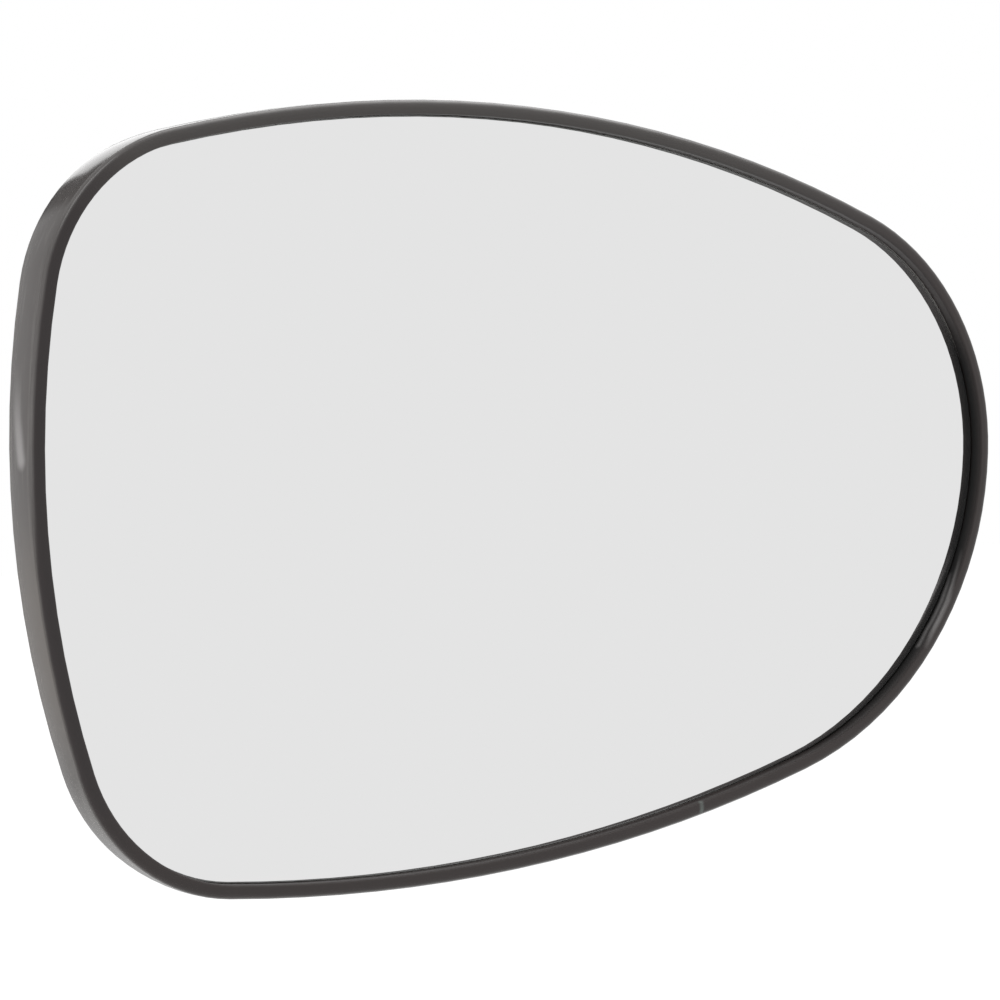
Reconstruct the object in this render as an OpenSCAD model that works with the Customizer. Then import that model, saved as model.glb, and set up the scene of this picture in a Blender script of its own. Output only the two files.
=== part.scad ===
// Car door mirror glass: a convex mirror glass bonded into a moulded carrier,
// which snaps onto the round head of the mirror's adjuster.
// Seen from the front, which faces -Y, +X is to the right and +Z is up.
// The origin is the middle of the gripping band of the snap fingers, on their axis.

/* [Outline: nose at the right] */
// Distance from the axis to the right, out to the middle of the nose curve
nose_reach = 86.5; // [76:0.5:96]
// How far the middle of the nose curve lies below half height
nose_drop = 5.5; // [3:0.5:9]
// How far the nose curve leans to face downwards
nose_lean_angle = 12.5; // [8:0.5:17]
// Angle that the nose curve turns through
nose_turn_angle = 21; // [14:1:26]
// Radius of the nose curve
nose_bulge = 49.5; // [40:0.5:60]

/* [Outline: top, left and bottom] */
// Distance from the axis to the top edge
top_reach = 55.5; // [48:0.5:64]
// How far the top edge leans to face the nose
top_lean_angle = 5.5; // [3:0.5:9]
// Radius of the top edge's curve
top_bulge = 200; // [170:5:240]
// Distance from the axis to the left end
left_reach = 78; // [66:0.5:90]
// How far the left end leans to face downwards
left_lean_angle = 7; // [4:0.5:10]
// Radius of the left end's curve
left_bulge = 133.5; // [110:0.5:160]
// Distance from the axis to the bottom edge
bottom_reach = 54; // [48:0.5:62]
// How far the bottom edge leans to face the nose
bottom_lean_angle = 9; // [5:0.5:12]
// Radius of the bottom edge's curve
bottom_bulge = 262; // [216:2:310]
// Radius of the upper left corner
left_top_r = 26.5; // [20:0.5:34]
// Radius of the lower left corner
left_bottom_r = 27; // [20:1:34]

/* [Glass] */
// Radius of the convex front of the glass
glass_curve_r = 1400; // [1000:50:2000]
// Thickness of the glass
glass_t = 2; // [1.6:0.1:3]
// Width of the seamed (ground) edge
glass_seam = 0.2; // [0.1:0.05:0.5]
// Gap between the edge of the glass and the lip
glass_gap = 0.1; // [0.05:0.05:0.5]
// Thickness of the adhesive sheet
pad_t = 0.6; // [0.4:0.1:1.2]
// Distance that the adhesive sheet stops short of the edge of the glass
pad_inset = 2; // [1:0.5:5]

/* [Carrier rim] */
// Width of the lip round the glass
lip_w = 2.1; // [1.7:0.1:3]
// Height of the lip above the front of the glass
lip_h = 2.2; // [1.2:0.1:3]
// Radius of the lip's outer edge
lip_outer_r = 1.2; // [0.7:0.1:1.5]
// Radius of the lip's inner edge
lip_inner_r = 0.4; // [0.2:0.1:0.6]
// Height of the whole rim, from the lip to its rear edge, level with the axis
rim_depth = 8; // [7:0.1:10]
// How far the rim's rear edge leans back towards the top
rear_lean_angle = 1.2; // [0:0.1:2]
// Radius of the outer wall, which curves in from the lip to the rear edge
wall_curve_r = 30; // [22:1:60]
// Radius of the rim's rear corners
rim_rear_r = 0.35; // [0.2:0.05:0.5]
// Thickness of the web behind the glass
web_t = 1.5; // [1.2:0.1:2.2]

/* [Snap ring] */
// Radius of the gripping band inside the snap fingers
grip_r = 24.8; // [22:0.1:27]
// Length of the gripping band
grip_len = 2; // [1.5:0.1:3]
// How far each hook stands in from its finger
hook_reach = 1.4; // [1:0.1:2]
// Length of the hook's lead-in towards the mouth
lead_in = 1.5; // [1:0.1:2.5]
// Thickness of a finger at its tip
finger_tip_t = 1.5; // [1.2:0.1:2]
// Thickness that a finger gains down to its root
finger_taper = 0.4; // [0:0.1:0.8]
// Length of a finger from its mouth to the web on the axis
finger_len = 10.5; // [9:0.5:14]
// Number of snap fingers
finger_count = 6; // [4:1:8]
// Angle that one finger takes
finger_angle = 32; // [24:1:40]
// Angle of the slot on each side of a finger
slot_angle = 4; // [3:0.5:5]
// How much lower than the fingers the fixed walls between them stand
wall_setback = 1.5; // [0.5:0.5:3]
// How far each moulding window reaches past its hook, and stops short of its finger
window_gap = 0.3; // [0.2:0.1:0.5]

/* [Ribs] */
// Thickness of the ribs
rib_t = 1.4; // [1:0.1:2]
// Height of the radial ribs at the snap ring
rib_root_h = 5; // [3:0.5:7]
// Height of the radial ribs at the rim
rib_tip_h = 0.5; // [0.3:0.1:1.2]
// Middle radius of the ring-shaped rib
ring_rib_r = 42; // [36:1:46]
// Height of the ring-shaped rib
ring_rib_h = 3; // [2:0.5:4]

/* [Hidden] */

// Facets of curves that are worked out point by point
facet_angle = 4;
facet_len = 6;
fillet_steps = 4;
wall_steps = 5;
ball_fn = 256;
round_fn = 96;
cut_past = 1;

function unit(a) = [cos(a), sin(a)];
function angle_of(v) = atan2(v[1], v[0]);
function full_turn(a) = a - 360 * floor(a / 360);

// Circles are [centre, radius]. This one is farthest from the axis, by reach, in the direction it faces.
function side_circle(reach, facing, r) = [(reach - r) * unit(facing), r];

// The circle that leaves point p, where the outline faces direction a, and touches the side from inside
function shoulder(p, a, side) =
    let (d = side[0] - p, r = (side[1] * side[1] - d * d) / (2 * (side[1] + d * unit(a))))
    [p - r * unit(a), r];

// The circle of radius r that touches sides a and b from inside, where the outline faces direction facing
function corner(a, b, r, facing) =
    let (
        from_a = a[1] - r,
        from_b = b[1] - r,
        apart = norm(b[0] - a[0]),
        forward = (b[0] - a[0]) / apart,
        sideways = [-forward[1], forward[0]],
        along = (from_a * from_a - from_b * from_b + apart * apart) / (2 * apart),
        across = sqrt(max(0, from_a * from_a - along * along))
    )
    [a[0] + along * forward + across * sign(sideways * unit(facing)) * sideways, r];

// The outline is a closed chain of tangent arcs, counted round from the nose by way of the top.
// The shoulders between the nose curve and the long sides take the radius that joins them smoothly.
nose_middle = [nose_reach, (top_reach - bottom_reach) / 2 - nose_drop];
nose = [nose_middle - nose_bulge * unit(-nose_lean_angle), nose_bulge];
nose_upper_end = nose_turn_angle / 2 - nose_lean_angle;
nose_lower_end = -nose_turn_angle / 2 - nose_lean_angle;
top = side_circle(top_reach, 90 - top_lean_angle, top_bulge);
left = side_circle(left_reach, 180 + left_lean_angle, left_bulge);
bottom = side_circle(bottom_reach, 270 + bottom_lean_angle, bottom_bulge);
circles = [
    nose,
    shoulder(nose[0] + nose_bulge * unit(nose_upper_end), nose_upper_end, top),
    top,
    corner(top, left, left_top_r, 135),
    left,
    corner(left, bottom, left_bottom_r, 225),
    bottom,
    shoulder(nose[0] + nose_bulge * unit(nose_lower_end), nose_lower_end, bottom)
];

// Direction that the outline faces where circle i passes into the next one
function joint_angle(i) =
    let (a = circles[i], b = circles[(i + 1) % len(circles)])
    angle_of((b[0] - a[0]) * sign(a[1] - b[1]));

// Each arc is [centre, radius, start angle, angle it turns through]
arcs = [
    for (i = [0:len(circles) - 1])
        let (start = joint_angle((i + len(circles) - 1) % len(circles)))
            [circles[i][0], circles[i][1], start, full_turn(joint_angle(i) - start)]
];
function arc_steps(arc) =
    max(2, ceil(arc[3] / facet_angle), ceil(arc[1] * arc[3] * PI / 180 / facet_len));

// Stations round the outline, each a point and the outward direction there
stations = [
    for (arc = arcs)
        let (steps = arc_steps(arc))
            for (k = [0:steps - 1])
                let (a = arc[2] + arc[3] * k / steps)
                    [arc[0] + arc[1] * unit(a), unit(a)]
];
function outline(out) = [for (s = stations) s[0] + out * s[1]];

// Distance from the axis to the outline in direction a
function reach_at(a, out) =
    let (points = outline(out), n = len(points), u = unit(a))
    max([
        for (i = [0:n - 1])
            let (p = points[i], q = points[(i + 1) % n], p_side = cross(u, p), q_side = cross(u, q))
                p_side <= 0 && q_side > 0 ? u * (p + (q - p) * p_side / (p_side - q_side)) : 0
    ]);

// Heights are counted forward, and the carrier, the sheet and the glass follow one centre of curvature
mouth_z = -grip_len / 2 - lead_in;
web_rear_z = mouth_z + finger_len;
glass_front_z = web_rear_z + web_t + pad_t + glass_t;
curve_centre_z = glass_front_z - glass_curve_r;
web_front_h = -glass_t - pad_t;
web_rear_h = web_front_h - web_t;
glass_out = -lip_w - glass_gap;
function curved_z(r, h) = curve_centre_z + sqrt(pow(glass_curve_r + h, 2) - r * r);

finger_in_r = grip_r + hook_reach;
finger_tip_r = finger_in_r + finger_tip_t;
finger_root_r = finger_tip_r + finger_taper;
finger_pitch = 360 / finger_count;
wall_angle = finger_pitch - finger_angle - 2 * slot_angle;
tip_edge = 0.3;
mouth_r = grip_r + 0.8 * hook_reach;
root_z = web_rear_z + web_t / 2;

function arc_points(centre, r, from, to, steps) =
    [for (k = [0:steps]) centre + r * unit(from + (to - from) * k / steps)];

// Section of the rim as [distance out from the outline, height above the glass, share of the rear edge's lean]
lip_outer_c = [-lip_outer_r, lip_h - lip_outer_r];
wall_c = [-wall_curve_r, lip_h - lip_outer_r];
rear_c_h = lip_h - rim_depth + rim_rear_r;
wall_turn = asin((wall_c[1] - rear_c_h) / (wall_curve_r - rim_rear_r));
rear_outer_c = wall_c + (wall_curve_r - rim_rear_r) * unit(-wall_turn);
lip_points = concat(
    arc_points([-lip_w + lip_inner_r, lip_h - lip_inner_r], lip_inner_r, 180, 90, fillet_steps),
    arc_points(lip_outer_c, lip_outer_r, 90, 0, fillet_steps + 2)
);
wall_points = [
    for (k = [1:wall_steps - 1])
        concat(wall_c + wall_curve_r * unit(-wall_turn * k / wall_steps), k / wall_steps)
];
rear_points = concat(
    arc_points(rear_outer_c, rim_rear_r, -wall_turn, -90, fillet_steps),
    arc_points([-lip_w + rim_rear_r, rear_c_h], rim_rear_r, -90, -180, fillet_steps)
);
rim_section = concat(
    [for (q = lip_points) concat(q, 0)],
    wall_points,
    [for (q = rear_points) concat(q, 1)]
);

// A section carried round the outline, following the curve of the glass
module carried_round(section) {
    n = len(stations);
    m = len(section);
    points = [
        for (s = stations)
            for (q = section)
                let (p = s[0] + q[0] * s[1], lean = q[2] * tan(rear_lean_angle))
                    [p[0], p[1], curved_z(norm(p), q[1]) - lean * p[1]]
    ];
    function at(i, j) = (i % n) * m + j % m;
    faces = [
        for (i = [0:n - 1])
            for (j = [0:m - 1])
                each [[at(i, j), at(i + 1, j), at(i + 1, j + 1)], [at(i, j), at(i + 1, j + 1), at(i, j + 1)]]
    ];
    polyhedron(points, faces);
}

// The ball is turned so that its poles stay clear of the glass
module ball(h) {
    translate([0, 0, curve_centre_z])
        rotate([90, 0, 0])
            sphere(r = glass_curve_r + h, $fn = ball_fn);
}

// A curved sheet inside the outline, between two heights over the curve of the glass
module curved_sheet(out, front_h, rear_h) {
    low_z = curved_z(nose_reach + left_reach, rear_h);
    difference() {
        intersection() {
            translate([0, 0, low_z])
                linear_extrude(glass_front_z + lip_h - low_z)
                    polygon(outline(out));
            ball(front_h);
        }
        ball(rear_h);
    }
}

// The pieces are drawn with the front up, and stand up to face -Y
module facing_front() {
    rotate([90, 0, 0])
        children();
}

module revolved(section, angle) {
    rotate([0, 0, -angle / 2])
        rotate_extrude(angle = angle, $fn = round_fn)
            polygon(section);
}

module rim() {
    carried_round(rim_section);
}

module web() {
    curved_sheet(-lip_w / 2, web_front_h, web_rear_h);
}

module snap_finger() {
    revolved([
        [finger_in_r, root_z],
        [finger_in_r, grip_len / 2 + hook_reach],
        [grip_r, grip_len / 2],
        [grip_r, -grip_len / 2],
        [mouth_r, mouth_z],
        [finger_tip_r - tip_edge, mouth_z],
        [finger_tip_r, mouth_z + tip_edge],
        [finger_root_r, root_z]
    ], finger_angle);
}

module fixed_wall() {
    revolved([
        [finger_in_r, root_z],
        [finger_in_r, mouth_z + wall_setback + tip_edge],
        [finger_in_r + tip_edge, mouth_z + wall_setback],
        [finger_tip_r - tip_edge, mouth_z + wall_setback],
        [finger_tip_r, mouth_z + wall_setback + tip_edge],
        [finger_root_r, root_z]
    ], wall_angle);
}

// Opening in the web through which the hook above it is moulded
module moulding_window() {
    inner_r = grip_r - window_gap;
    outer_r = finger_in_r - window_gap;
    side_gap = window_gap / grip_r * 180 / PI;
    revolved([
        [inner_r, web_rear_z - cut_past],
        [outer_r, web_rear_z - cut_past],
        [outer_r, web_rear_z + web_t + cut_past],
        [inner_r, web_rear_z + web_t + cut_past]
    ], finger_angle + 2 * side_gap);
}

// Rib from radius r to the rim in direction a, falling from the snap ring's height to the rim's
module radial_rib(a, r) {
    end_r = reach_at(a, -lip_w / 2);
    start_h = rib_root_h + (rib_tip_h - rib_root_h) * (r - finger_root_r) / (end_r - finger_root_r);
    rotate([0, 0, a])
        rotate([90, 0, 0])
            linear_extrude(rib_t, center = true)
                polygon([
                    [r, curved_z(r, web_rear_h) + web_t / 2],
                    [r, curved_z(r, web_rear_h) - start_h],
                    [end_r, curved_z(end_r, web_rear_h) - rib_tip_h],
                    [end_r, curved_z(end_r, web_rear_h) + web_t / 2]
                ]);
}

module ring_rib() {
    z = curved_z(ring_rib_r, web_rear_h);
    rotate_extrude($fn = round_fn)
        translate([ring_rib_r - rib_t / 2, z - ring_rib_h])
            square([rib_t, ring_rib_h + web_t / 2]);
}

module backing_plate() {
    color("#3b3835")
        facing_front()
            difference() {
                union() {
                    rim();
                    web();
                    ring_rib();
                    for (i = [0:finger_count - 1]) {
                        a = i * finger_pitch;
                        rotate([0, 0, a]) snap_finger();
                        radial_rib(a, ring_rib_r);
                        rotate([0, 0, a + finger_pitch / 2]) fixed_wall();
                        radial_rib(a + finger_pitch / 2, finger_root_r - finger_taper);
                    }
                }
                for (i = [0:finger_count - 1])
                    rotate([0, 0, i * finger_pitch]) moulding_window();
            }
}

module adhesive_pad() {
    color("#202020")
        facing_front()
            curved_sheet(glass_out - pad_inset, -glass_t, web_front_h);
}

// Wedge that takes a seam off the glass's edge, at height h, on the side that up gives
module seam_cut(h, up) {
    near = glass_out + cut_past;
    far = glass_out - glass_seam - cut_past;
    front_far = [far, h + up * cut_past, 0];
    front_near = [near, h + up * cut_past, 0];
    deep_near = [near, h - up * (glass_seam + cut_past), 0];
    carried_round(up > 0 ? [front_far, front_near, deep_near] : [front_far, deep_near, front_near]);
}

module mirror_glass() {
    color("#e4e4e4")
        facing_front()
            difference() {
                curved_sheet(glass_out, 0, -glass_t);
                seam_cut(0, 1);
                seam_cut(-glass_t, -1);
            }
}

backing_plate();
adhesive_pad();
mirror_glass();
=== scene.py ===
"""Car door mirror glass: finishes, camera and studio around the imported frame.

All lengths are in metres unless a name or comment says millimetres. The glass faces -Y, +X is to the right
seen from the front and +Z is up.
"""
import math

import bpy
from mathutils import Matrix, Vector


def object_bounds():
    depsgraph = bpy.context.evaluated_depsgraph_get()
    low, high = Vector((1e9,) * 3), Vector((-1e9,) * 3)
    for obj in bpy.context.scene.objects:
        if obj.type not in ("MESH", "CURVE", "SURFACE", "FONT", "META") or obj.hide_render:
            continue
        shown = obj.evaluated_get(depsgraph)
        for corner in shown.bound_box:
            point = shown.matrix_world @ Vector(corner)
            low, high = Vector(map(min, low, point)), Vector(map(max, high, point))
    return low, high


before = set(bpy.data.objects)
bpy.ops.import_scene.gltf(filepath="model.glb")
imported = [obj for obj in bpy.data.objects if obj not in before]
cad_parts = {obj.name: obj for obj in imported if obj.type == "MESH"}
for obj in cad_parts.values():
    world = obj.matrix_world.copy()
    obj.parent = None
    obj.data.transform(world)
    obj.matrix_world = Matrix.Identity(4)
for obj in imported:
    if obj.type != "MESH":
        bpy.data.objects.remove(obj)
cad_low, cad_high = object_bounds()

MM = 0.001

# The photograph's view: its picture is taken as 1000 pixels wide, and angles are in degrees
PICTURE_PX = 1000
FOCAL_PX = 6189
SENSOR_WIDTH_MM = 36
CAMERA_AZIMUTH = -33
CAMERA_HEIGHT_ANGLE = 2.1
CAMERA_DISTANCE = 0.9
CAMERA_CLIP = (0.01, 100.0)
# The origin, which the camera looks at, lies this far right and up of the picture's middle
AIM_RIGHT_PX = -35.2
AIM_UP_PX = 10.3

# The glass's front is a sphere of this radius, which stands this far in front of the origin on the axis
GLASS_RADIUS = 1.4
GLASS_FRONT = 12.1 * MM

# Smooth shading joins loose triangles within this distance and keeps corners sharper than this angle
JOIN_DISTANCE = 0.001 * MM
SHARP_ANGLE = math.radians(30)

# Colours, as linear red, green and blue
LIP_DARK = (0.018, 0.013, 0.012, 1.0)
LIP_LIGHT = (0.025, 0.019, 0.018, 1.0)
# Painted light and shade: the lip's face is lit paler at the top and shaded darker at the left
LIT_TOP_LIP = (0.036, 0.032, 0.030, 1.0)
SHADED_LEFT_LIP = (0.015, 0.011, 0.011, 1.0)
# Painted light: the outer wall's tones are a paler, lit copy of the same plastic
LIT_WALL_DARK = (0.066, 0.061, 0.059, 1.0)
LIT_WALL_LIGHT = (0.092, 0.086, 0.083, 1.0)
LIT_WALL_WARM = (0.083, 0.075, 0.069, 1.0)
LIT_WALL_FOOT = (0.064, 0.060, 0.057, 1.0)
# Painted shade inside the lip along the nose
INSIDE_SHADE = (0.013, 0.013, 0.013, 1.0)
# Painted light on the lip's wall in the shaded gap beside the glass
LIT_GAP_WALL = (0.30, 0.29, 0.28, 1.0)
GROUND_EDGE = (0.52, 0.53, 0.525, 1.0)
GROUND_EDGE_IN_SHADE = (0.022, 0.024, 0.023, 1.0)
SCUFF = (0.110, 0.128, 0.118, 1.0)
# Painted highlight on the streaks and the tongue
PAINTED_HIGHLIGHT = (0.215, 0.207, 0.205, 1.0)
SILVER_DARK = (0.774, 0.774, 0.774, 1.0)
SILVER_LIGHT = (0.778, 0.778, 0.778, 1.0)
SHEET_DARK = (0.012, 0.012, 0.012, 1.0)
SHEET_LIGHT = (0.022, 0.022, 0.022, 1.0)
FLOOR_PALE = (0.82, 0.82, 0.82, 1.0)
WHITE = (1.0, 1.0, 1.0, 1.0)

# Roughness of each surface: the mottle and the drag lines add theirs where they are strongest
LIP_ROUGHNESS = 0.38
LIP_ROUGHNESS_IN_MOTTLE = 0.10
WALL_ROUGHNESS = 0.16
WALL_ROUGHNESS_IN_DRAG = 0.06
DULL_INSIDE_ROUGHNESS = 0.65
SILVER_ROUGHNESS_IN_MOTTLE = 0.01
SEAM_ROUGHNESS = 0.55
SHEET_ROUGHNESS = 0.85

# How strongly the moulding reflects on its face, in its shaded inside and in its dull inside
LIP_GLOSS = 0.40
SHADED_GLOSS = 0.20
DULL_GLOSS = 0.12

# Share of the normal that faces the front, where the lip's face gives way to the outer wall's painted lit
# tone
LIP_TO_WALL = (0.82, 0.50)
LIP_TO_WALL_LOW_LEFT = (0.64, 0.0)
# The same for the mirror, where its silvered front gives way to the ground seam
SILVER_TO_SEAM = (0.985, 0.93)

# The normal's share away from the clip's axis, times the distance from it, so below 0 inside the lip. Each
# tone starts at the first value and is full at the second
OUTWARD = (0.0, 0.020)
SHADED_INSIDE = (0.004, -0.085)
DULL_INSIDE = (-0.012, -0.060)
GAP_INSIDE = (-0.012, -0.030)

# The same in millimetres, along X, Y or Z, from the clip's axis or over the glass
LIP_BEGINS_Y = (-9.0, -9.8)
RIM_FROM_AXIS = (47, 50)
TOP_LIP_Z = (30, 52)
LEFT_LIP_X = (-60, -74)
LOW_LEFT_X = (-20, -60)
LOW_LEFT_Z = (6, -10)
WALL_WARM_Z = (2, -14)
WALL_FOOT_Z = (-24, -42)
BELOW_NOSE_TOP_Z = (28, 17)
SHADED_NOSE_X = (30, 75)
DULL_NOSE_X = (-50, 30)
DARK_SEAM_X = (20, 60)
LIP_TOP_OVER_GLASS = (0.5, 2.1)
GAP_MOUTH_OVER_GLASS = (0.10, -0.02)
GAP_FOOT_OVER_GLASS = (-2.6, -2.4)
UPPER_GAP_Z = (-25, 15)

# How much the shade inside the lip loses at its top, and how much of the gap's painted light the lower side
# keeps
LIP_TOP_FADES = 0.60
LOWER_GAP_SHARE = 0.40
# How much of the lip's grain the outer wall has
GRAIN_ON_WALL = 0.15

# Drag lines show on walls that face sideways: the share of the normal, the noise that makes a line, and how
# finely it varies along each axis
DRAG_SIDEWAYS = (0.25, 0.55)
DRAG_LINES = (0.50, 0.72)
DRAG_STRETCH = (260.0, 900.0, 45.0)

# Marks on the moulding, the streaks and the tongue being painted highlights and the nick a scuff: the places
# along each, its width and the softness of its edge in millimetres, how much of its colour shows, and the
# heights where it fades in
STREAK = (
    (82.5, -10.8, -10.7), (79.3, -11.6, -17.9), (77.9, -11.7, -20.2),
    (76.2, -11.8, -22.7), (75.0, -12.0, -24.8),
)
STREAK_WIDTH = 0.55
STREAK_SOFT = 0.40
STREAK_SHARE = 0.80
STREAK_TOP_Z = (-9, -18)
STREAK_FOOT_Z = (-26, -21)
INNER_STREAK = (
    (81.0, -10.0, -14.2), (79.1, -10.5, -17.9), (77.7, -10.6, -20.2),
    (76.2, -10.5, -22.4), (74.5, -10.8, -24.6),
)
INNER_STREAK_WIDTH = 0.75
INNER_STREAK_SOFT = 0.45
INNER_STREAK_SHARE = 0.50
INNER_STREAK_TOP_Z = (-12, -18)
TONGUE = ((-77.8, -6.2, 20.0), (-78.2, -7.3, 11.5), (-78.3, -8.6, 5.9))
TONGUE_WIDTH = 2.2
TONGUE_SOFT = 0.90
TONGUE_SHARE = 0.80
TONGUE_TOP_Z = (20, 6)
NICK = ((32.9, -12.9, -46.1), (33.1, -13.1, -48.0))
NICK_WIDTH = 0.66
NICK_SOFT = 0.28
NICK_SHARE = 0.65

# The grey card stands behind the part and lies on the floor below it, and is seen only in reflections
CARD_X = (-2.2, 1.1)
CARD_Y = 1.6
CARD_TOP = 1.2
CARD_FRONT = 0.70
CARD_ABOVE_FLOOR = 0.01
CARD_TONE = 0.55
CARD_CORNER_TONE = 0.05
CARD_CORNER_FADE = (0.42, 0.62)
CARD_FOOT_TONE = 0.70
CARD_FOOT_FADE = (0.0, -0.25)

# The floor lies well below the glass, which hangs on its clip. Its lift is a glow that only the camera sees
FLOOR_BELOW = 0.30
FLOOR_SIZE = 12.0
FLOOR_LIFT = 0.45

# The studio's even light, as a share of the white background, and its lamps: place, width and height,
# brightness against that background, whether reflections show it, and roll in degrees
AMBIENT = 0.75
LAMPS = (
    ("front_lamp", (0.45, -0.70, 0.50), (0.5, 0.5), 5.0, False, 0),
    ("left_lamp", (-0.70, 0.15, -0.25), (0.4, 0.4), 10.7, False, 0),
    ("rear_top_softbox", (0.46, 1.15, 0.50), (0.50, 0.60), 1.8, True, -30),
    ("overhead_softbox", (0.50, 0.17, 0.95), (0.9, 0.9), 2.0, True, 0),
    ("top_left_softbox", (-0.52, -0.10, 0.85), (0.25, 0.70), 3.0, True, 0),
)


# Node helpers

def bare_material(name):
    """A material with its node tree and the input for its surface."""
    material = bpy.data.materials.new(name)
    material.use_nodes = True
    tree = material.node_tree
    tree.nodes.clear()
    return material, tree, tree.nodes.new("ShaderNodeOutputMaterial").inputs["Surface"]


def principled_material(name):
    """A material with its node tree and Principled shader."""
    material, tree, surface = bare_material(name)
    shader = tree.nodes.new("ShaderNodeBsdfPrincipled")
    tree.links.new(shader.outputs["BSDF"], surface)
    return material, tree, shader


def set_socket(tree, socket, value):
    """Links a socket to that input, or writes a plain value there."""
    if isinstance(value, bpy.types.NodeSocket):
        tree.links.new(value, socket)
    else:
        socket.default_value = value


def add_node(tree, kind, settings=(), **inputs):
    """A node of that kind, with its settings and its inputs, each a value or a socket to link."""
    node = tree.nodes.new(kind)
    for key, value in dict(settings).items():
        setattr(node, key, value)
    for key, value in inputs.items():
        set_socket(tree, node.inputs[key.replace("_", " ")], value)
    return node


def math_node(tree, operation, *operands):
    """The result of one operation on numbers or sockets."""
    node = add_node(tree, "ShaderNodeMath", {"operation": operation})
    for socket, operand in zip(node.inputs, operands):
        set_socket(tree, socket, operand)
    return node.outputs[0]


def vector_node(tree, operation, *operands):
    """One operation on vectors, each a value or a socket."""
    node = add_node(tree, "ShaderNodeVectorMath", {"operation": operation})
    for socket, operand in zip(node.inputs, operands):
        set_socket(tree, socket, operand)
    return node


def product(tree, first, *masks):
    """All the masks multiplied, in that order."""
    for mask in masks:
        first = math_node(tree, "MULTIPLY", first, mask)
    return first


def inverted(tree, mask):
    """1 where the mask is 0 and 0 where it is 1."""
    return math_node(tree, "SUBTRACT", 1.0, mask)


def ramp_between(tree, value, low, high):
    """0 below low and 1 above high, or the other way round where low is the larger, eased between."""
    node = add_node(tree, "ShaderNodeMapRange", {"interpolation_type": "SMOOTHSTEP"})
    node.inputs["From Min"].default_value = low
    node.inputs["From Max"].default_value = high
    tree.links.new(value, node.inputs["Value"])
    return node.outputs["Result"]


def ramp_mm(tree, value, limits_mm):
    """The same ramp on a length, with its limits in millimetres."""
    return ramp_between(tree, value, limits_mm[0] * MM, limits_mm[1] * MM)


def noise(tree, vector, scale, detail, roughness):
    """A noise between 0 and 1, scale times per metre."""
    inputs = {"Vector": vector, "Scale": scale, "Detail": detail, "Roughness": roughness}
    return add_node(tree, "ShaderNodeTexNoise", **inputs).outputs["Fac"]


def mix_colour(tree, factor, first, second):
    """A blend of two colours, each a value or a socket."""
    node = add_node(tree, "ShaderNodeMix", {"data_type": "RGBA"})
    for index, value in ((0, factor), (6, first), (7, second)):
        set_socket(tree, node.inputs[index], value)
    return node.outputs[2]


def blend(tree, factor, first, second):
    """A number between first and second, each a value or a socket."""
    node = tree.nodes.new("ShaderNodeMix")
    for index, value in ((0, factor), (2, first), (3, second)):
        set_socket(tree, node.inputs[index], value)
    return node.outputs[0]


# Effects that several materials share

def new_group(name, inputs, outputs):
    """A shader node group with named number or vector inputs and outputs."""
    group = bpy.data.node_groups.new(name, "ShaderNodeTree")
    for label, kind, default in inputs:
        socket = group.interface.new_socket(label, in_out="INPUT", socket_type=kind)
        if default is not None:
            socket.default_value = default
    for label, kind in outputs:
        group.interface.new_socket(label, in_out="OUTPUT", socket_type=kind)
    return group, group.nodes.new("NodeGroupInput"), group.nodes.new("NodeGroupOutput")


def moulded_grain_group():
    """The fine spark-eroded grain of a mould, as a height and as a mottle from 0 to 1."""
    group, given, result = new_group(
        "moulded_grain",
        [
            ("Vector", "NodeSocketVector", None),
            ("Grain Scale", "NodeSocketFloat", 4000.0),
            ("Mottle Scale", "NodeSocketFloat", 90.0),
        ],
        [("Height", "NodeSocketFloat"), ("Mottle", "NodeSocketFloat")],
    )
    fine = noise(group, given.outputs["Vector"], given.outputs["Grain Scale"], detail=3.0, roughness=0.6)
    mottle = noise(group, given.outputs["Vector"], given.outputs["Mottle Scale"], detail=4.0, roughness=0.55)
    group.links.new(fine, result.inputs["Height"])
    group.links.new(mottle, result.inputs["Mottle"])
    return group


def handling_marks_group():
    """Faint scuffs and drag lines, stretched along one axis, as a mask from 0 to 1."""
    group, given, result = new_group(
        "handling_marks",
        [
            ("Vector", "NodeSocketVector", None),
            ("Stretch", "NodeSocketVector", (1.0, 1.0, 1.0)),
            ("Amount", "NodeSocketFloat", 0.5),
        ],
        [("Mask", "NodeSocketFloat")],
    )
    stretched = vector_node(group, "MULTIPLY", given.outputs["Vector"], given.outputs["Stretch"])
    lines = noise(group, stretched.outputs["Vector"], 1.0, detail=5.0, roughness=0.65)
    strong = ramp_between(group, lines, *DRAG_LINES)
    group.links.new(product(group, strong, given.outputs["Amount"]), result.inputs["Mask"])
    return group


def use_group(tree, group, **inputs):
    """That group placed in a material, with its inputs set or linked."""
    return add_node(tree, "ShaderNodeGroup", {"node_tree": group}, **inputs)


# Where a place lies on the moulding

def surface_parts(tree):
    """The surface's normal and its place, each split into X, Y and Z, and its place unsplit."""
    normal = tree.nodes.new("ShaderNodeSeparateXYZ")
    tree.links.new(tree.nodes.new("ShaderNodeNewGeometry").outputs["Normal"], normal.inputs["Vector"])
    position = tree.nodes.new("ShaderNodeTexCoord").outputs["Object"]
    place = tree.nodes.new("ShaderNodeSeparateXYZ")
    tree.links.new(position, place.inputs["Vector"])
    return normal.outputs, place.outputs, position


def facing_axis(tree, normal, place):
    """Below 0 where the surface faces the clip's axis, as the lip's inner wall does, and above 0 outside."""
    across = math_node(tree, "MULTIPLY", normal["X"], place["X"])
    return math_node(tree, "MULTIPLY_ADD", normal["Z"], place["Z"], across)


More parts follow.
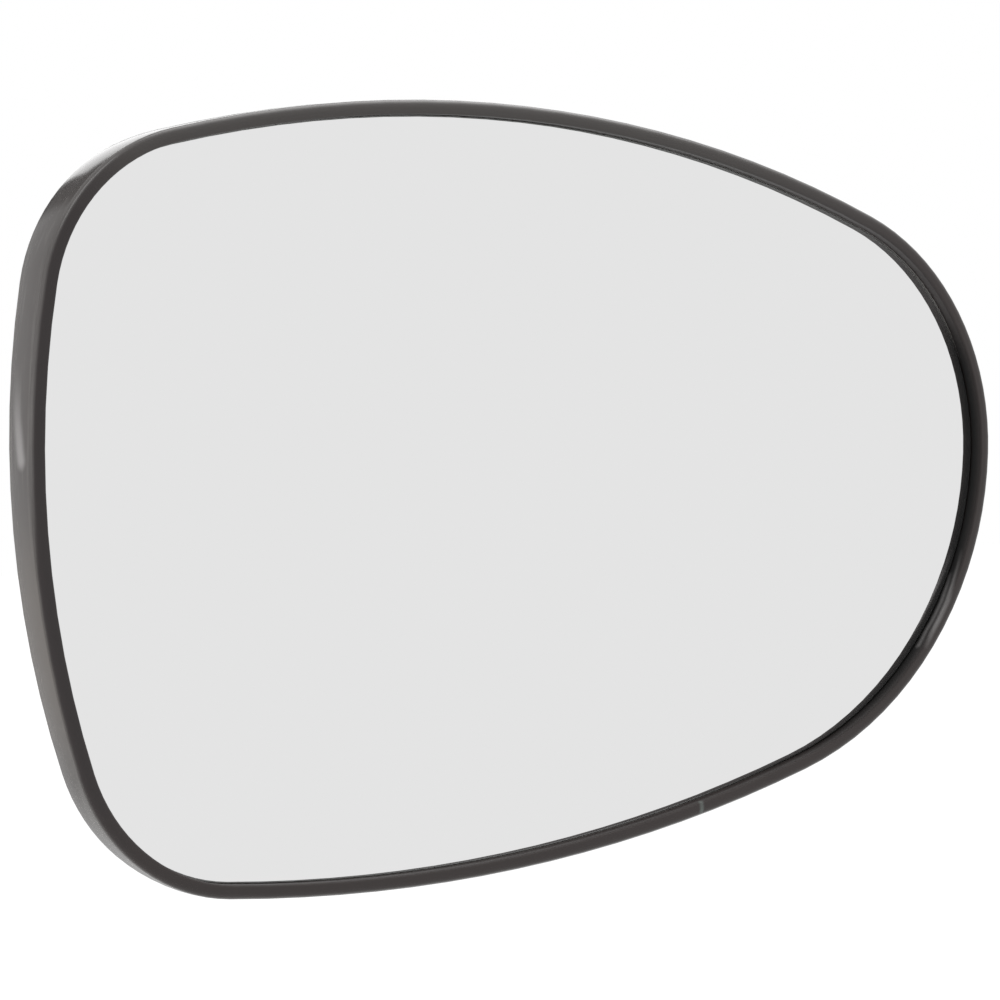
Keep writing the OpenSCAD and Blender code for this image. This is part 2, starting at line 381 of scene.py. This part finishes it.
def from_axis(tree, place):
    """Distance from the clip's axis."""
    squares = [math_node(tree, "MULTIPLY", place[axis], place[axis]) for axis in ("X", "Z")]
    return math_node(tree, "SQRT", math_node(tree, "ADD", *squares))


def above_glass(tree, place):
    """Height over the curved front of the glass, also beyond its edge."""
    radius = from_axis(tree, place)
    sag = math_node(tree, "DIVIDE", math_node(tree, "MULTIPLY", radius, radius), 2 * GLASS_RADIUS)
    return math_node(tree, "SUBTRACT", math_node(tree, "SUBTRACT", sag, place["Y"]), GLASS_FRONT)


def nose_shade(tree, place, limits_mm):
    """1 along the inside of the nose, where the lip reflects only its own dark side, fading in over X."""
    return product(tree, ramp_mm(tree, place["X"], limits_mm), ramp_mm(tree, place["Z"], BELOW_NOSE_TOP_Z))


def near_segment(tree, position, start, end, width, soft):
    """1 on a thin straight mark between two points, falling to 0 past its half width."""
    along = (end - start).normalized()
    offset = vector_node(tree, "SUBTRACT", position, start).outputs["Vector"]
    reach = vector_node(tree, "DOT_PRODUCT", offset, along).outputs["Value"]
    held = math_node(tree, "MINIMUM", math_node(tree, "MAXIMUM", reach, 0.0), (end - start).length)
    foot = vector_node(tree, "SCALE", along)
    tree.links.new(held, foot.inputs["Scale"])
    apart = vector_node(tree, "DISTANCE", offset, foot.outputs["Vector"]).outputs["Value"]
    return ramp_between(tree, apart, width / 2 + soft, width / 2 - soft)


def mark_along(tree, position, places_mm, width_mm, soft_mm):
    """1 on a thin mark that runs through those places, falling to 0 past its half width."""
    mark = None
    for start, end in zip(places_mm, places_mm[1:]):
        piece = near_segment(
            tree, position, Vector(start) * MM, Vector(end) * MM, width_mm * MM, soft_mm * MM
        )
        mark = piece if mark is None else math_node(tree, "MAXIMUM", mark, piece)
    return mark


# Materials

def rim_zones(tree, normal, place):
    """Masks for the parts of the moulding that look different from the lip's plain face."""
    facing = facing_axis(tree, normal, place)
    height = above_glass(tree, place)
    frontal = math_node(tree, "ABSOLUTE", normal["Y"])
    in_front = ramp_mm(tree, place["Y"], LIP_BEGINS_Y)
    low_left = product(tree, ramp_mm(tree, place["Z"], LOW_LEFT_Z), ramp_mm(tree, place["X"], LOW_LEFT_X))
    wall = blend(
        tree,
        low_left,
        ramp_between(tree, frontal, *LIP_TO_WALL),
        ramp_between(tree, frontal, *LIP_TO_WALL_LOW_LEFT),
    )
    outward = product(
        tree, ramp_between(tree, facing, *OUTWARD), ramp_mm(tree, from_axis(tree, place), RIM_FROM_AXIS)
    )
    # The shade and the dullness inside the lip are weaker towards its top
    top = ramp_mm(tree, height, LIP_TOP_OVER_GLASS)
    below_top = math_node(tree, "MULTIPLY_ADD", top, -LIP_TOP_FADES, 1.0)
    shade = product(
        tree,
        ramp_between(tree, facing, *SHADED_INSIDE),
        in_front,
        nose_shade(tree, place, SHADED_NOSE_X),
        below_top,
    )
    dull = product(
        tree,
        ramp_between(tree, facing, *DULL_INSIDE),
        in_front,
        nose_shade(tree, place, DULL_NOSE_X),
        below_top,
    )
    # Painted light makes the lip's wall inside the gap beside the glass paler where it lies in shade, but not
    # in the nose, and less so at the bottom
    gap = product(
        tree,
        ramp_mm(tree, height, GAP_MOUTH_OVER_GLASS),
        ramp_mm(tree, height, GAP_FOOT_OVER_GLASS),
        ramp_between(tree, facing, *GAP_INSIDE),
        inverted(tree, nose_shade(tree, place, DARK_SEAM_X)),
        blend(tree, ramp_mm(tree, place["Z"], UPPER_GAP_Z), LOWER_GAP_SHARE, 1.0),
    )
    return {"in_front": in_front, "wall": wall, "outward": outward, "shade": shade, "dull": dull, "gap": gap}


def lip_colour(tree, zones, place, mottle):
    """Colour of the lip's face, with painted light paler at the top and painted shade darker at the left."""
    # Painted light at the lip's top and painted shade at its left
    top = product(tree, ramp_mm(tree, place["Z"], TOP_LIP_Z), zones["in_front"])
    left = product(tree, ramp_mm(tree, place["X"], LEFT_LIP_X), zones["in_front"])
    face = mix_colour(tree, top, mix_colour(tree, mottle, LIP_DARK, LIP_LIGHT), LIT_TOP_LIP)
    return mix_colour(tree, left, face, SHADED_LEFT_LIP)


def lit_wall_colour(tree, place, drag):
    """Colour of the outer wall, painted light: a paler, lit copy of the lip's plastic, paler still on its
    drag lines, warmer below the middle and darker at its foot.
    """
    side = mix_colour(tree, drag, LIT_WALL_DARK, LIT_WALL_LIGHT)
    side = mix_colour(tree, ramp_mm(tree, place["Z"], WALL_WARM_Z), side, LIT_WALL_WARM)
    return mix_colour(tree, ramp_mm(tree, place["Z"], WALL_FOOT_Z), side, LIT_WALL_FOOT)


def highlights_and_nick(tree, place, position):
    """The painted highlights along the streaks and the tongue, and the scuffed nick: how much of each shows,
    and its colour.
    """
    streak = product(
        tree,
        mark_along(tree, position, STREAK, STREAK_WIDTH, STREAK_SOFT),
        ramp_mm(tree, place["Z"], STREAK_TOP_Z),
        ramp_mm(tree, place["Z"], STREAK_FOOT_Z),
    )
    # The glass beside the inner streak doesn't show this painted highlight again
    mirrored = tree.nodes.new("ShaderNodeLightPath").outputs["Is Glossy Ray"]
    inner_streak = product(
        tree,
        mark_along(tree, position, INNER_STREAK, INNER_STREAK_WIDTH, INNER_STREAK_SOFT),
        inverted(tree, mirrored),
        ramp_mm(tree, place["Z"], INNER_STREAK_TOP_Z),
    )
    tongue = product(
        tree,
        mark_along(tree, position, TONGUE, TONGUE_WIDTH, TONGUE_SOFT),
        ramp_mm(tree, place["Z"], TONGUE_TOP_Z),
    )
    nick = mark_along(tree, position, NICK, NICK_WIDTH, NICK_SOFT)
    return [
        (product(tree, streak, STREAK_SHARE), PAINTED_HIGHLIGHT),
        (product(tree, inner_streak, INNER_STREAK_SHARE), PAINTED_HIGHLIGHT),
        (product(tree, tongue, TONGUE_SHARE), PAINTED_HIGHLIGHT),
        (product(tree, nick, NICK_SHARE), SCUFF),
    ]


def carrier_plastic(grain, marks):
    """Dark warm-grey moulding: satin on the lip, smoother outside with painted light making it paler, and
    with painted shade darkest inside the lip.
    """
    material, tree, shader = principled_material("carrier_plastic")
    normal, place, position = surface_parts(tree)
    zones = rim_zones(tree, normal, place)
    skin = use_group(tree, grain, Vector=position, Grain_Scale=4200.0, Mottle_Scale=110.0).outputs
    sideways = ramp_between(tree, math_node(tree, "ABSOLUTE", normal["X"]), *DRAG_SIDEWAYS)
    drag = use_group(tree, marks, Vector=position, Stretch=DRAG_STRETCH, Amount=sideways).outputs["Mask"]

    face = lip_colour(tree, zones, place, skin["Mottle"])
    # Painted light: the outward wall takes the paler, lit copy of the plastic
    side = mix_colour(tree, zones["outward"], face, lit_wall_colour(tree, place, drag))
    colour = mix_colour(tree, zones["wall"], face, side)
    # Painted shade inside the lip along the nose
    colour = mix_colour(tree, zones["shade"], colour, INSIDE_SHADE)
    # Painted light on the lip's wall in the shaded gap beside the glass
    colour = mix_colour(tree, zones["gap"], colour, LIT_GAP_WALL)
    # Painted highlights on the streaks and the tongue, and the scuff of the nick
    for mask, finish in highlights_and_nick(tree, place, position):
        colour = mix_colour(tree, mask, colour, finish)
    tree.links.new(colour, shader.inputs["Base Color"])

    face_rough = math_node(tree, "MULTIPLY_ADD", skin["Mottle"], LIP_ROUGHNESS_IN_MOTTLE, LIP_ROUGHNESS)
    side_rough = math_node(tree, "MULTIPLY_ADD", drag, WALL_ROUGHNESS_IN_DRAG, WALL_ROUGHNESS)
    outside = product(tree, zones["wall"], zones["outward"])
    rough = blend(tree, zones["dull"], blend(tree, outside, face_rough, side_rough), DULL_INSIDE_ROUGHNESS)
    tree.links.new(rough, shader.inputs["Roughness"])
    gloss = blend(tree, zones["dull"], blend(tree, zones["shade"], LIP_GLOSS, SHADED_GLOSS), DULL_GLOSS)
    tree.links.new(gloss, shader.inputs["Specular IOR Level"])

    height = product(tree, skin["Height"], blend(tree, zones["wall"], 1.0, GRAIN_ON_WALL))
    bump = add_node(tree, "ShaderNodeBump", Strength=0.25, Distance=0.03 * MM, Height=height)
    tree.links.new(bump.outputs["Normal"], shader.inputs["Normal"])
    return material


def silvered_glass(grain):
    """The mirror: silver seen through clear glass, with a ground seam round its edge."""
    material, tree, shader = principled_material("silvered_glass")
    normal, place, position = surface_parts(tree)
    seam = ramp_between(tree, math_node(tree, "ABSOLUTE", normal["Y"]), *SILVER_TO_SEAM)
    skin = use_group(tree, grain, Vector=position, Grain_Scale=2500.0, Mottle_Scale=35.0).outputs
    silver = mix_colour(tree, skin["Mottle"], SILVER_DARK, SILVER_LIGHT)
    ground = mix_colour(tree, nose_shade(tree, place, DARK_SEAM_X), GROUND_EDGE, GROUND_EDGE_IN_SHADE)
    tree.links.new(mix_colour(tree, seam, silver, ground), shader.inputs["Base Color"])
    tree.links.new(blend(tree, seam, 1.0, 0.0), shader.inputs["Metallic"])
    clear = product(tree, skin["Mottle"], SILVER_ROUGHNESS_IN_MOTTLE)
    rough = math_node(tree, "MULTIPLY_ADD", seam, SEAM_ROUGHNESS, clear)
    tree.links.new(rough, shader.inputs["Roughness"])
    return material


def adhesive_sheet(grain):
    """Matt black bonding sheet, seen only through the moulding windows."""
    material, tree, shader = principled_material("adhesive_sheet")
    position = tree.nodes.new("ShaderNodeTexCoord").outputs["Object"]
    skin = use_group(tree, grain, Vector=position, Grain_Scale=1800.0, Mottle_Scale=200.0).outputs
    tree.links.new(mix_colour(tree, skin["Mottle"], SHEET_DARK, SHEET_LIGHT), shader.inputs["Base Color"])
    shader.inputs["Roughness"].default_value = SHEET_ROUGHNESS
    bump = add_node(tree, "ShaderNodeBump", Strength=0.5, Distance=0.1 * MM, Height=skin["Height"])
    tree.links.new(bump.outputs["Normal"], shader.inputs["Normal"])
    return material


def dress(node, material):
    """Puts that finish on a CAD node."""
    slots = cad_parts[node].material_slots
    if not slots:
        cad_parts[node].data.materials.append(material)
    for slot in slots:
        slot.material = material


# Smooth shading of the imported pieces

def rounded_shading_tree():
    """Geometry nodes that join a node's loose triangles and shade its curves smooth, up to a sharp corner."""
    tree = bpy.data.node_groups.new("rounded_shading", "GeometryNodeTree")
    for label, side, kind, default in (
        ("Geometry", "INPUT", "NodeSocketGeometry", None),
        ("Join Distance", "INPUT", "NodeSocketFloat", JOIN_DISTANCE),
        ("Sharp Angle", "INPUT", "NodeSocketFloat", SHARP_ANGLE),
        ("Geometry", "OUTPUT", "NodeSocketGeometry", None),
    ):
        socket = tree.interface.new_socket(label, in_out=side, socket_type=kind)
        if default is not None:
            socket.default_value = default
    given = tree.nodes.new("NodeGroupInput").outputs
    joined = add_node(
        tree, "GeometryNodeMergeByDistance", Geometry=given["Geometry"], Distance=given["Join Distance"]
    )
    bare = add_node(tree, "GeometryNodeRemoveAttribute", Geometry=joined.outputs[0], Name="custom_normal")
    smooth = add_node(tree, "GeometryNodeSetShadeSmooth", {"domain": "FACE"}, Geometry=bare.outputs[0])
    bend = tree.nodes.new("GeometryNodeInputMeshEdgeAngle").outputs["Unsigned Angle"]
    corner = add_node(tree, "FunctionNodeCompare", {"operation": "GREATER_THAN"})
    tree.links.new(bend, corner.inputs[0])
    tree.links.new(given["Sharp Angle"], corner.inputs[1])
    sharp = add_node(
        tree,
        "GeometryNodeSetShadeSmooth",
        {"domain": "EDGE"},
        Geometry=smooth.outputs[0],
        Selection=corner.outputs[0],
        Shade_Smooth=False,
    )
    tree.links.new(sharp.outputs[0], tree.nodes.new("NodeGroupOutput").inputs["Geometry"])
    return tree


def shade_rounded(node, tree):
    """Smooth shading on a CAD node, in which its large flat faces stay flat."""
    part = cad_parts[node]
    part.modifiers.new("rounded_shading", "NODES").node_group = tree
    weighted = part.modifiers.new("flat_faces_stay_flat", "WEIGHTED_NORMAL")
    weighted.mode = "FACE_AREA"
    weighted.keep_sharp = True


# The studio

def make_world():
    """White to look at, also in a mirror and through clear glass, and an even ambient light for the rest."""
    world = bpy.data.worlds.new("studio")
    world.use_nodes = True
    tree = world.node_tree
    tree.nodes.clear()
    path = tree.nodes.new("ShaderNodeLightPath").outputs
    seen = math_node(tree, "MAXIMUM", path["Is Camera Ray"], path["Is Glossy Ray"])
    seen = math_node(tree, "MAXIMUM", seen, path["Is Transmission Ray"])
    level = blend(tree, seen, AMBIENT, 1.0)
    background = add_node(tree, "ShaderNodeBackground", Color=WHITE, Strength=level)
    output = tree.nodes.new("ShaderNodeOutputWorld")
    tree.links.new(background.outputs["Background"], output.inputs["Surface"])
    bpy.context.scene.world = world


def mix_shaders(tree, factor, first, second):
    """A blend of two shaders."""
    node = tree.nodes.new("ShaderNodeMixShader")
    for socket, link in zip(node.inputs, (factor, first, second)):
        tree.links.new(link, socket)
    return node.outputs[0]


def floor_material():
    """Pale floor that keeps a shadow, is white in reflections, and can be looked through from below."""
    material, tree, surface = bare_material("pale_floor")
    path = tree.nodes.new("ShaderNodeLightPath").outputs
    below = tree.nodes.new("ShaderNodeNewGeometry").outputs["Backfacing"]
    matt = add_node(tree, "ShaderNodeBsdfDiffuse", Color=FLOOR_PALE).outputs[0]
    lift = add_node(tree, "ShaderNodeEmission", Color=WHITE, Strength=FLOOR_LIFT).outputs[0]
    white = add_node(tree, "ShaderNodeEmission", Color=WHITE, Strength=1.0).outputs[0]
    clear = tree.nodes.new("ShaderNodeBsdfTransparent").outputs[0]
    lit = tree.nodes.new("ShaderNodeAddShader")
    tree.links.new(matt, lit.inputs[0])
    tree.links.new(lift, lit.inputs[1])
    seen = mix_shaders(tree, path["Is Camera Ray"], matt, lit.outputs[0])
    glossy = math_node(tree, "MAXIMUM", path["Is Glossy Ray"], path["Is Transmission Ray"])
    mirrored = mix_shaders(tree, glossy, seen, white)
    tree.links.new(mix_shaders(tree, below, mirrored, clear), surface)
    return material


def studio_piece(name, corners, faces, material):
    """A flat piece of the studio."""
    mesh = bpy.data.meshes.new(name)
    mesh.from_pydata(corners, [], faces)
    mesh.materials.append(material)
    piece = bpy.data.objects.new(name, mesh)
    bpy.context.scene.collection.objects.link(piece)
    return piece


def make_floor():
    """A plain level floor below the part."""
    half = FLOOR_SIZE / 2
    z = cad_low.z - FLOOR_BELOW
    corners = [(-half, -half, z), (half, -half, z), (half, half, z), (-half, half, z)]
    floor = studio_piece("floor", corners, [(0, 1, 2, 3)], floor_material())


def card_material():
    """A matt grey card, darker towards its upper right corner and paler towards its foot."""
    material, tree, surface = bare_material("grey_card")
    place = tree.nodes.new("ShaderNodeSeparateXYZ")
    tree.links.new(tree.nodes.new("ShaderNodeTexCoord").outputs["Object"], place.inputs["Vector"])
    upper_right = math_node(tree, "ADD", place.outputs["X"], place.outputs["Z"])
    tone = blend(tree, ramp_between(tree, place.outputs["Z"], *CARD_FOOT_FADE), CARD_TONE, CARD_FOOT_TONE)
    tone = blend(tree, ramp_between(tree, upper_right, *CARD_CORNER_FADE), tone, CARD_CORNER_TONE)
    glow = add_node(tree, "ShaderNodeEmission", Color=WHITE, Strength=tone)
    tree.links.new(glow.outputs[0], surface)
    return material


def make_grey_card():
    """The card behind and below the part, which keeps the outer wall's grazing reflections grey."""
    left, right = CARD_X
    low = cad_low.z - FLOOR_BELOW + CARD_ABOVE_FLOOR
    corners = [
        (left, CARD_Y, low), (right, CARD_Y, low), (right, CARD_Y, CARD_TOP), (left, CARD_Y, CARD_TOP),
        (right, CARD_FRONT, low), (left, CARD_FRONT, low),
    ]
    card = studio_piece("grey_card", corners, [(0, 1, 2, 3), (0, 5, 4, 1)], card_material())
    for ray in ("camera", "diffuse", "transmission", "shadow", "volume_scatter"):
        setattr(card, "visible_" + ray, False)


def make_lamp(name, place, size, brightness, seen_in_gloss, roll):
    """A flat area lamp that shines from its place to the origin, a few times as bright as the background."""
    lamp = bpy.data.lights.new(name, "AREA")
    lamp.shape = "RECTANGLE"
    lamp.size, lamp.size_y = size
    lamp.energy = brightness * math.pi * size[0] * size[1]
    box = bpy.data.objects.new(name, lamp)
    box.location = place
    box.rotation_euler = (-Vector(place)).to_track_quat("-Z", "Y").to_euler()
    box.rotation_euler.rotate_axis("Z", math.radians(roll))
    box.visible_glossy = seen_in_gloss
    box.visible_camera = False
    bpy.context.scene.collection.objects.link(box)


def make_camera():
    """The photograph's camera: from the left, a little above, with a long lens."""
    azimuth, height = math.radians(CAMERA_AZIMUTH), math.radians(CAMERA_HEIGHT_ANGLE)
    level = math.cos(height)
    towards = Vector((math.sin(azimuth) * level, -math.cos(azimuth) * level, math.sin(height)))
    data = bpy.data.cameras.new("photo_camera")
    data.sensor_width = SENSOR_WIDTH_MM
    data.lens = FOCAL_PX / PICTURE_PX * SENSOR_WIDTH_MM
    data.shift_x = -AIM_RIGHT_PX / PICTURE_PX
    data.shift_y = -AIM_UP_PX / PICTURE_PX
    data.clip_start, data.clip_end = CAMERA_CLIP
    camera = bpy.data.objects.new("photo_camera", data)
    camera.location = towards * CAMERA_DISTANCE
    camera.rotation_euler = (-towards).to_track_quat("-Z", "Y").to_euler()
    bpy.context.scene.collection.objects.link(camera)
    bpy.context.scene.camera = camera


def main():
    bpy.context.scene.view_settings.view_transform = "Standard"
    make_camera()
    make_world()
    make_floor()
    make_grey_card()
    for lamp in LAMPS:
        make_lamp(*lamp)

    grain, marks = moulded_grain_group(), handling_marks_group()
    dress("backing_plate", carrier_plastic(grain, marks))
    dress("mirror_glass", silvered_glass(grain))
    dress("adhesive_pad", adhesive_sheet(grain))
    rounded = rounded_shading_tree()
    for node in ("backing_plate", "mirror_glass"):
        shade_rounded(node, rounded)


main()
